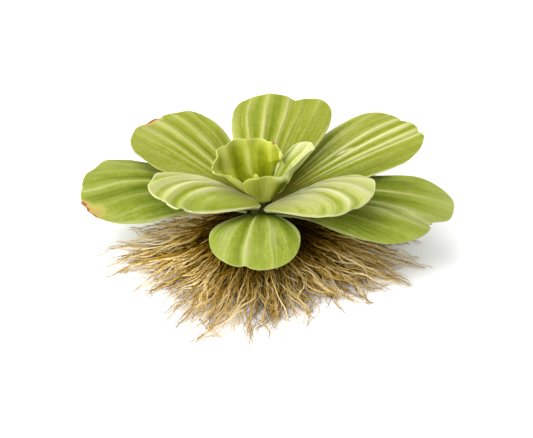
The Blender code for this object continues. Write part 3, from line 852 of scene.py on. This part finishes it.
crownLook = {
    "finish": {"Roughness": 0.8, "Specular IOR Level": 0.1},
    "sides": 72,
    "scarDepth": 0.00025, "scarRise": 900, "fineScarRise": 2300,
    # The stem's dark green and brown are partly painted shade among the leaf bases; the tender green on top
    # is its own colour.
    "green": (0.06, 0.065, 0.01), "brown": (0.03, 0.017, 0.004), "tender": (0.36, 0.42, 0.05),
    "tenderBand": (0.0340, 0.0366),
    "patchScale": 320.0, "fineScale": 1800.0,
    "reliefStrength": 0.7, "relief": 0.0003,
}


def crownMaterial():
    material, tree, shader = newMaterial("crownFlesh", crownLook["finish"])
    place = objectPlace(tree)
    patches = noiseOf(tree, place, crownLook["patchScale"], 4.0)
    fine = noiseOf(tree, place, crownLook["fineScale"], 2.0)
    colour = rampOf(tree, patches, ((0.35, crownLook["brown"]), (0.62, crownLook["green"])))
    height = addNode(tree, "ShaderNodeSeparateXYZ")
    plug(tree, height.inputs[0], place)
    tender = bandOf(tree, height.outputs["Z"], *crownLook["tenderBand"])
    plug(tree, shader.inputs["Base Color"], mixColours(tree, tender, colour, crownLook["tender"]))
    relief = maths(tree, "ADD", patches, fine)
    roughen(tree, shader, relief, crownLook["reliefStrength"], crownLook["relief"])
    return material


def makeCrown():
    clearSelection()
    firstRadius, firstHeight = crown["profile"][0]
    bpy.ops.mesh.primitive_circle_add(
        vertices=crownLook["sides"], radius=firstRadius, fill_type="NGON", location=(0, 0, firstHeight),
    )
    stem = bpy.context.object
    stem.name = "crownStem"
    bpy.ops.object.transform_apply(location=True)
    bpy.ops.object.mode_set(mode="EDIT")
    bpy.ops.mesh.flip_normals()
    radius, height = firstRadius, firstHeight
    rings = [*crown["profile"][1:], (crown["topRadius"], crown["top"])]
    for nextRadius, nextHeight in rings:
        bpy.ops.mesh.extrude_region_move(TRANSFORM_OT_translate={"value": (0, 0, nextHeight - height)})
        bpy.ops.transform.resize(value=(nextRadius / radius, nextRadius / radius, 1))
        radius, height = nextRadius, nextHeight
    bpy.ops.mesh.select_all(action="SELECT")
    bpy.ops.mesh.normals_make_consistent(inside=False)
    bpy.ops.object.mode_set(mode="OBJECT")
    finer = stem.modifiers.new("finer", "SUBSURF")
    finer.levels = 2
    finer.render_levels = 2
    applyModifier(stem, finer)
    places = readPlaces(stem).astype(float)
    angle = np.arctan2(places[:, 1], places[:, 0])
    scars = np.sin(7 * angle + places[:, 2] * crownLook["scarRise"])
    scars = scars + 0.6 * np.sin(23 * angle + places[:, 2] * crownLook["fineScarRise"])
    widest = max(radius for radius, _ in crown["profile"])
    places[:, :2] *= 1 - crownLook["scarDepth"] * (1.6 - scars)[:, None] / widest
    writePlaces(stem, places)
    bpy.ops.object.shade_smooth()
    stem.data.materials.append(crownMaterial())
    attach(stem, "root")
    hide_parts("crown")
    print("made the crown")


makeCrown()


# Roots: locks of fine strands that run out from the crown, sink to the floor and draw together at the tips.

rootSkirt = {
    "reach": (  # one for each tuft, anticlockwise from +X
        0.092, 0.086, 0.080, 0.074, 0.070, 0.070, 0.073, 0.077, 0.082,
        0.091, 0.085, 0.078, 0.089, 0.090, 0.081, 0.070, 0.077, 0.092,
    ),
    "start": 0.0072, "top": 0.0250, "tip": 0.0010, "slope": 1.5,
    "locks": 4, "shortestLock": 0.84, "lockBend": 0.9, "lockOverrun": 1.03, "lockSeed": 1223,
    "longTips": (  # degrees from +X, reach
        (184, 0.0906), (196, 0.0870), (205.6, 0.0790), (218, 0.0790), (231.3, 0.0830),
        (241, 0.0840), (247.7, 0.0940), (253.5, 0.0925), (264.4, 0.0870), (276, 0.0810),
        (289, 0.0745), (305, 0.0740), (318, 0.0760), (334, 0.0850), (349, 0.0930),
    ),
}

rootStrand = {
    "seed": 40,
    "wispLevels": (1.0, 1.0, 0.95, 0.90, 0.82, 0.74, 0.64, 0.52, 0.38),
    "strands": 3, "longStrands": 4, "boldStrands": 10, "under": 48, "rootlets": 7,
    "pathSteps": 48, "rings": 36, "rootletRings": 5,
    "crownRadii": (0.0030, 0.0065),
    "sway": 0.0030, "spread": 0.0040, "hook": 0.0050, "rise": 0.0009, "drift": 0.0022, "flutter": 0.00030,
    "floorGap": 0.0003, "floorScatter": 0.0006,
    "thickness": 0.00016, "wispWidth": 0.00020, "boldness": 1.6, "longBoldness": 1.25,
    "rootletLengths": (0.0015, 0.0060), "rootletWidths": (0.00008, 0.00003), "rootletFloor": 0.0002,
    "lowestWall": 0.00005, "point": 5,
    "darkShare": 0.02, "tipTone": 0.44, "strandScatter": 0.10,
    "wispTone": 0.19, "toneByLevel": 0.68, "wispScatter": 0.24,
}

centreTuft = {"strands": 260, "radius": 0.0068, "floor": 0.0004, "thickness": 0.0002, "tone": 0.25}

rootLook = {
    "finish": {"Roughness": 0.7, "Specular IOR Level": 0.02},
    "tones": (
        (0.0, (0.018, 0.008, 0.0002)), (0.25, (0.12, 0.060, 0.001)), (0.5, (0.42, 0.25, 0.022)),
        (0.75, (0.76, 0.54, 0.17)), (1.0, (0.96, 0.80, 0.46)),
    ),
    "fineScale": 900.0, "fineShare": 0.35,
    "reliefStrength": 0.4, "relief": 0.0001,
}


def rootMaterial():
    material, tree, shader = newMaterial("rootFibre", rootLook["finish"])
    fine = noiseOf(tree, objectPlace(tree), rootLook["fineScale"], 3.0)
    tone = vary(tree, readFloat(tree, "strandTone"), fine, rootLook["fineShare"], clamp=True)
    plug(tree, shader.inputs["Base Color"], rampOf(tree, tone, rootLook["tones"]))
    roughen(tree, shader, fine, rootLook["reliefStrength"], rootLook["relief"])
    return material


def skirtHeight(share):
    drop = (1 - np.clip(share, 0, 1)) ** rootSkirt["slope"]
    return rootSkirt["tip"] + (rootSkirt["top"] - rootSkirt["tip"]) * drop


def swayOf(draw, s, orders, share=1.0):
    # Slow bends and quicker waves across the run of a root, none at the crown.
    sway = np.zeros_like(s)
    for order in orders:
        turns = 0.7 * order * draw.uniform(0.8, 1.25)
        size = share * draw.gauss(0, rootStrand["sway"]) / order**0.65
        sway += size * np.sin(2 * np.pi * (turns * s + draw.random())) * s**0.7
    return sway


def lieOnFloor(draw, height):
    return np.maximum(height, rootStrand["floorGap"] + rootStrand["floorScatter"] * draw.random())


def wispPath(draw, startAngle, tipAngle, tipReach, level):
    # The middle line of one lock or wisp, from under the crown out and down to its tip on the floor.
    s = np.linspace(0, 1, rootStrand["pathSteps"])
    startRadius = draw.uniform(*rootStrand["crownRadii"])
    radius = startRadius + (tipReach - startRadius) * s
    share = np.clip((radius - rootSkirt["start"]) / (tipReach - rootSkirt["start"]), 0, 1)
    angle = startAngle + (tipAngle - startAngle) * smoothStep(share, -0.1, 1.0)
    sway = swayOf(draw, s, (1, 2, 3, 5))
    sway += draw.gauss(0, rootStrand["hook"]) * np.maximum(0, (s - 0.7) / 0.3) ** 2
    angle = angle + sway / radius
    wave = np.sin(2 * np.pi * (draw.uniform(1.5, 3) * s + draw.random()))
    height = skirtHeight(share) * level + rootStrand["rise"] * wave * (1 - s**2) * s
    return np.stack([radius * np.cos(angle), radius * np.sin(angle), lieOnFloor(draw, height)], axis=1)


def besideOf(draw, path, level):
    # A wisp of the same lock: it wanders beside the lock's line and comes back to it near the tip.
    s = np.linspace(0, 1, len(path))
    _, sideways, _ = framesOf(path)
    apart = draw.gauss(0, rootStrand["spread"])
    apart = apart * np.sin(np.pi * np.minimum(1, s * draw.uniform(0.95, 1.1))) ** 0.8
    apart += swayOf(draw, s, (4, 6, 9), 0.95)
    line = path + sideways * apart[:, None]
    height = path[:, 2] * level + swayOf(draw, s, (3, 5, 8), 0.55) * 4 * s * (1 - s)
    line[:, 2] = lieOnFloor(draw, height)
    stop = draw.uniform(0.80, 1.0)
    return follow(line, np.linspace(0, stop, len(path)))


def follow(path, shares):
    # The places at some shares of a path, counted in its even steps.
    known = np.linspace(0, 1, len(path))
    return np.stack([np.interp(shares, known, path[:, axis]) for axis in range(3)], axis=1)


def framesOf(line):
    # Unit directions along a line, level to its side and square to both.
    ahead = np.gradient(line, axis=0)
    ahead /= np.linalg.norm(ahead, axis=1)[:, None]
    sideways = np.cross(ahead, (0, 0, 1.0))
    sideways /= np.linalg.norm(sideways, axis=1)[:, None]
    return ahead, sideways, np.cross(sideways, ahead)


def strandOf(draw, path, tone, boldness=1.0):
    s = np.linspace(draw.uniform(0, 0.08), draw.choice((1.0, draw.uniform(0.72, 1.0))), rootStrand["rings"])
    line = follow(path, s)
    _, sideways, upward = framesOf(line)
    ring = rootStrand["wispWidth"] * draw.uniform(0.3, 1.1) * (0.25 + np.sin(np.pi * s**0.8) ** 0.8)
    turn = draw.uniform(0, 2 * math.pi) + draw.uniform(-9, 9) * s
    drift = draw.gauss(0, rootStrand["drift"]) * np.maximum(0, s - draw.uniform(0.3, 0.8)) ** 1.3
    flutter = rootStrand["flutter"] * np.sin(2 * np.pi * (draw.uniform(4, 9) * s + draw.random()))
    line = line + sideways * (ring * np.cos(turn) + drift + flutter)[:, None]
    line = line + upward * (ring * np.sin(turn))[:, None]
    width = boldness * rootStrand["thickness"] * draw.uniform(0.6, 1.2) * (1 - 0.4 * s**4)
    return line, width, tone(s) + draw.gauss(0, rootStrand["strandScatter"])


def rootletOf(draw, path, tone):
    # A short side root that leaves its wisp at some place along it.
    at = draw.uniform(0.2, 0.85)
    start = follow(path, np.array([at, min(1.0, at + 0.02)]))
    ahead = start[1] - start[0]
    ahead /= max(1e-9, np.linalg.norm(ahead))
    sideways = np.array([-ahead[1], ahead[0], 0.0]) * draw.choice((-1, 1))
    t = np.linspace(0, 1, rootStrand["rootletRings"])[:, None]
    length = draw.uniform(*rootStrand["rootletLengths"])
    bend = draw.gauss(0, 0.35)
    line = start[0] + ahead * length * t * draw.uniform(0.3, 1.0)
    line = line + sideways * length * t**1.3 * draw.uniform(0.2, 0.9)
    line = line + np.array([ahead[1], -ahead[0], 0.0]) * bend * length * np.sin(np.pi * 1.6 * t)
    line[:, 2] += draw.uniform(-0.0015, 0.0006) * t[:, 0] ** 1.5
    line[:, 2] = np.maximum(line[:, 2], rootStrand["rootletFloor"])
    width = np.linspace(*rootStrand["rootletWidths"], len(t))
    return line, width, np.full(len(t), float(tone(np.array([at]))[0])) + draw.gauss(0.05, 0.08)


def tubesOf(lines):
    # Thin three-sided tubes, closed at the start and drawn to a point at the tip.
    sides = 3
    rings = len(lines[0][0])
    perStrand = rings * sides + 1
    places = np.empty((len(lines), perStrand, 3))
    tones = np.empty((len(lines), perStrand))
    for number, (line, width, tone) in enumerate(lines):
        ahead, sideways, upward = framesOf(line)
        for corner in range(sides):
            turn = 2 * math.pi * corner / sides + math.pi / 2
            ring = line + (sideways * math.cos(turn) + upward * math.sin(turn)) * width[:, None]
            places[number, corner:-1:sides] = ring
            tones[number, corner:-1:sides] = tone
        places[number, -1] = line[-1] + ahead[-1] * width[-1] * rootStrand["point"]
        tones[number, -1] = tone[-1]
    places[..., 2] = np.maximum(places[..., 2], rootStrand["lowestWall"])
    faces = [tuple(range(sides))]
    for ring in range(rings - 1):
        for corner in range(sides):
            following = (corner + 1) % sides
            low, high = ring * sides, (ring + 1) * sides
            faces.append((low + corner, high + corner, high + following, low + following))
    last = (rings - 1) * sides
    faces += [(last + corner, perStrand - 1, last + (corner + 1) % sides) for corner in range(sides)]
    starts = range(0, len(lines) * perStrand, perStrand)
    everyFace = [tuple(index + start for index in face) for start in starts for face in faces]
    return places.reshape(-1, 3), tones.ravel(), everyFace


def weaveStrands(name, node, *bundles):
    # Joins bundles of lines into one mesh. The lines of a bundle all have the same number of rings.
    places, tones, faces = [], [], []
    for lines in bundles:
        somePlaces, someTones, someFaces = tubesOf(lines)
        shift = sum(len(block) for block in places)
        faces += [tuple(index + shift for index in face) for face in someFaces]
        places.append(somePlaces)
        tones.append(someTones)
    mesh = bpy.data.meshes.new(name)
    mesh.from_pydata(np.concatenate(places).tolist(), [], faces)
    tuft = bpy.data.objects.new(name, mesh)
    bpy.context.scene.collection.objects.link(tuft)
    storeFloats(tuft, "strandTone", np.concatenate(tones))
    mesh.shade_smooth()
    mesh.materials.append(rootFibre)
    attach(tuft, "root")
    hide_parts(node)


def toneOf(lightness):
    # Dark by the crown, partly the roots' own colour and partly painted shade under the leaves, lightest
    # about three quarters of the way out, golden brown at the tips.
    dark = rootStrand["darkShare"]

    def tone(s):
        risen = lightness * (dark + (1 - dark) * smoothStep(s, 0.25, 0.70))
        return risen + (rootStrand["tipTone"] - risen) * smoothStep(s, 0.78, 1.0)

    return tone


def growLock(middle, lane, lockReach, bend, draw):
    # The wisps of one lock from the top of the skirt down. Every third one goes its own way.
    strands, rootlets = [], []
    lockPath = wispPath(draw, middle, middle + bend * lane / 2, lockReach * rootSkirt["lockOverrun"], 1.0)
    for order, level in enumerate(rootStrand["wispLevels"]):
        if order % 3 == 2:
            startAngle = middle + draw.uniform(-1.0, 1.0) * lane
            tipAngle = middle + draw.uniform(-1.6, 1.6) * lane
            path = wispPath(draw, startAngle, tipAngle, lockReach * draw.uniform(0.60, 0.94), level)
        else:
            path = besideOf(draw, lockPath, level * draw.uniform(0.92, 1.06))
        # Higher wisps are lighter: painted light on the top of the mat and painted shade on the lower
        # layers, with each wisp's own tone scattered about that.
        lightness = rootStrand["wispTone"] + rootStrand["toneByLevel"] * level
        tone = toneOf(lightness + draw.gauss(0, rootStrand["wispScatter"]))
        strands += [strandOf(draw, path, tone) for _ in range(rootStrand["strands"])]
        rootlets += [rootletOf(draw, path, tone) for _ in range(rootStrand["rootlets"])]
    return strands, rootlets


def growTuft(number, azimuth, reach, lockDraw, draw):
    lane = 2 * math.pi / len(rootSkirt["reach"]) / rootSkirt["locks"]
    strands, rootlets = [], []
    for lock in range(rootSkirt["locks"]):
        lockReach = reach * lockDraw.uniform(rootSkirt["shortestLock"], 1.0)
        bend = lockDraw.uniform(-rootSkirt["lockBend"], rootSkirt["lockBend"])
        middle = azimuth + lane * (lock - (rootSkirt["locks"] - 1) / 2)
        lockStrands, lockRootlets = growLock(middle, lane, lockReach, bend, draw)
        strands += lockStrands
        rootlets += lockRootlets

    # The longest tips of the skirt, then a few bold light strands on top, partly painted highlight, and
    # dark ones underneath, painted shade deep in the mat.
    for tipDegrees, tipReach in rootSkirt["longTips"]:
        tipAngle = math.radians(tipDegrees)
        if abs(tipAngle - azimuth) <= 2 * lane:
            longPath = wispPath(draw, tipAngle, tipAngle, tipReach, 0.95)
            for order in range(rootStrand["longStrands"]):
                path = besideOf(draw, longPath, draw.uniform(0.8, 1.05)) if order > 1 else longPath
                tone = toneOf(draw.uniform(0.45, 0.85))
                strands += [strandOf(draw, path, tone, rootStrand["longBoldness"]) for _ in range(2)]
    for _ in range(rootStrand["boldStrands"]):
        angle = azimuth + draw.uniform(-2.0, 2.0) * lane
        tipAngle = angle + draw.gauss(0, 1.4) * lane
        path = besideOf(draw, wispPath(draw, angle, tipAngle, reach * draw.uniform(0.6, 1.0), 1.05), 1.0)
        strands.append(strandOf(draw, path, toneOf(draw.uniform(0.75, 1.05)), rootStrand["boldness"]))
    for _ in range(rootStrand["under"]):
        angle = azimuth + draw.uniform(-2.2, 2.2) * lane
        tipReach = reach * draw.uniform(0.45, 0.84)
        path = wispPath(draw, angle, angle + draw.gauss(0, 0.03), tipReach, draw.uniform(0.1, 0.75))
        shade = draw.uniform(0.06, 0.36)
        strands.append(strandOf(draw, path, lambda s: shade * (0.15 + 1.1 * s)))
    weaveStrands(f"rootTuft{number:02d}", f"root_tuft_{number:02d}", strands, rootlets)


def growCentreTuft(draw):
    lines = []
    s = np.linspace(0, 1, rootStrand["rings"])
    for _ in range(centreTuft["strands"]):
        angle = draw.uniform(0, 2 * math.pi)
        radius = centreTuft["radius"] * math.sqrt(draw.random()) * (0.65 + 0.35 * s)
        turn = angle + draw.gauss(0, 0.25) * s
        height = crown["foot"] * (1 - s) ** 0.8 * draw.uniform(0.9, 1.0) + centreTuft["floor"]
        line = np.stack([radius * np.cos(turn), radius * np.sin(turn), height], axis=1)
        tone = np.full(len(s), centreTuft["tone"] + draw.gauss(0, 0.08))
        lines.append((line, np.full(len(s), centreTuft["thickness"]), tone))
    weaveStrands("rootTuftCentre", "root_tuft_centre", lines)


rootFibre = rootMaterial()
lockDraw = random.Random(rootSkirt["lockSeed"])
strandDraw = random.Random(rootStrand["seed"])
for number, reach in enumerate(rootSkirt["reach"]):
    growTuft(number + 1, 2 * math.pi * number / len(rootSkirt["reach"]), reach, lockDraw, strandDraw)
growCentreTuft(strandDraw)
print("grew the roots")


# Floor, light and camera.

studio = {
    "floorSize": 6.0, "floorColour": (0.93, 0.93, 0.93), "floorShade": 0.985, "cloudScale": 3.0,
    "floorFinish": {"Roughness": 0.9, "Specular IOR Level": 0.1},
    "skyStrength": 0.98,
    "aim": (0.0, 0.0, 0.03),
    "lamps": {
        "keyLight": {"energy": 11.5, "size": 1.3, "place": (-0.48, -0.10, 0.90)},
        "fillLight": {"energy": 12.0, "size": 0.9, "place": (-1.00, -0.55, 0.28)},
    },
}

view = {
    "elevation": 30.0, "distance": 0.676, "target": (0.0024, -0.0060, 0.0254),
    "lens": 85.0, "sensor": 36.0,
}


def layFloor():
    clearSelection()
    bpy.ops.mesh.primitive_plane_add(size=studio["floorSize"], location=(0, 0, 0))
    floor = bpy.context.object
    floor.name = "studioFloor"
    material, tree, shader = newMaterial("studioPaper", studio["floorFinish"])
    cloudy = noiseOf(tree, objectPlace(tree), studio["cloudScale"])
    light = studio["floorColour"]
    darker = tuple(studio["floorShade"] * value for value in light)
    plug(tree, shader.inputs["Base Color"], rampOf(tree, cloudy, ((0.0, darker), (1.0, light))))
    floor.data.materials.append(material)


def hangLights():
    world = bpy.data.worlds.new("studioSky")
    bpy.context.scene.world = world
    world.use_nodes = True
    sky = world.node_tree.nodes["Background"]
    sky.inputs["Color"].default_value = (1.0, 1.0, 1.0, 1.0)
    sky.inputs["Strength"].default_value = studio["skyStrength"]
    for name, lamp in studio["lamps"].items():
        clearSelection()
        bpy.ops.object.light_add(type="AREA", location=lamp["place"])
        light = bpy.context.object
        light.name = name
        light.data.energy = lamp["energy"]
        light.data.size = lamp["size"]
        aim = Vector(studio["aim"]) - light.location
        light.rotation_euler = aim.to_track_quat("-Z", "Y").to_euler()


def setCamera():
    elevation = math.radians(view["elevation"])
    ahead = Vector((0, math.cos(elevation), -math.sin(elevation)))
    place = Vector(view["target"]) - ahead * view["distance"]
    bpy.ops.object.camera_add(location=place, rotation=ahead.to_track_quat("-Z", "Y").to_euler())
    camera = bpy.context.object
    camera.data.lens = view["lens"]
    camera.data.sensor_width = view["sensor"]
    bpy.context.scene.camera = camera


layFloor()
hangLights()
setCamera()
bpy.context.scene.view_settings.view_transform = "Standard"
print("set the stage")
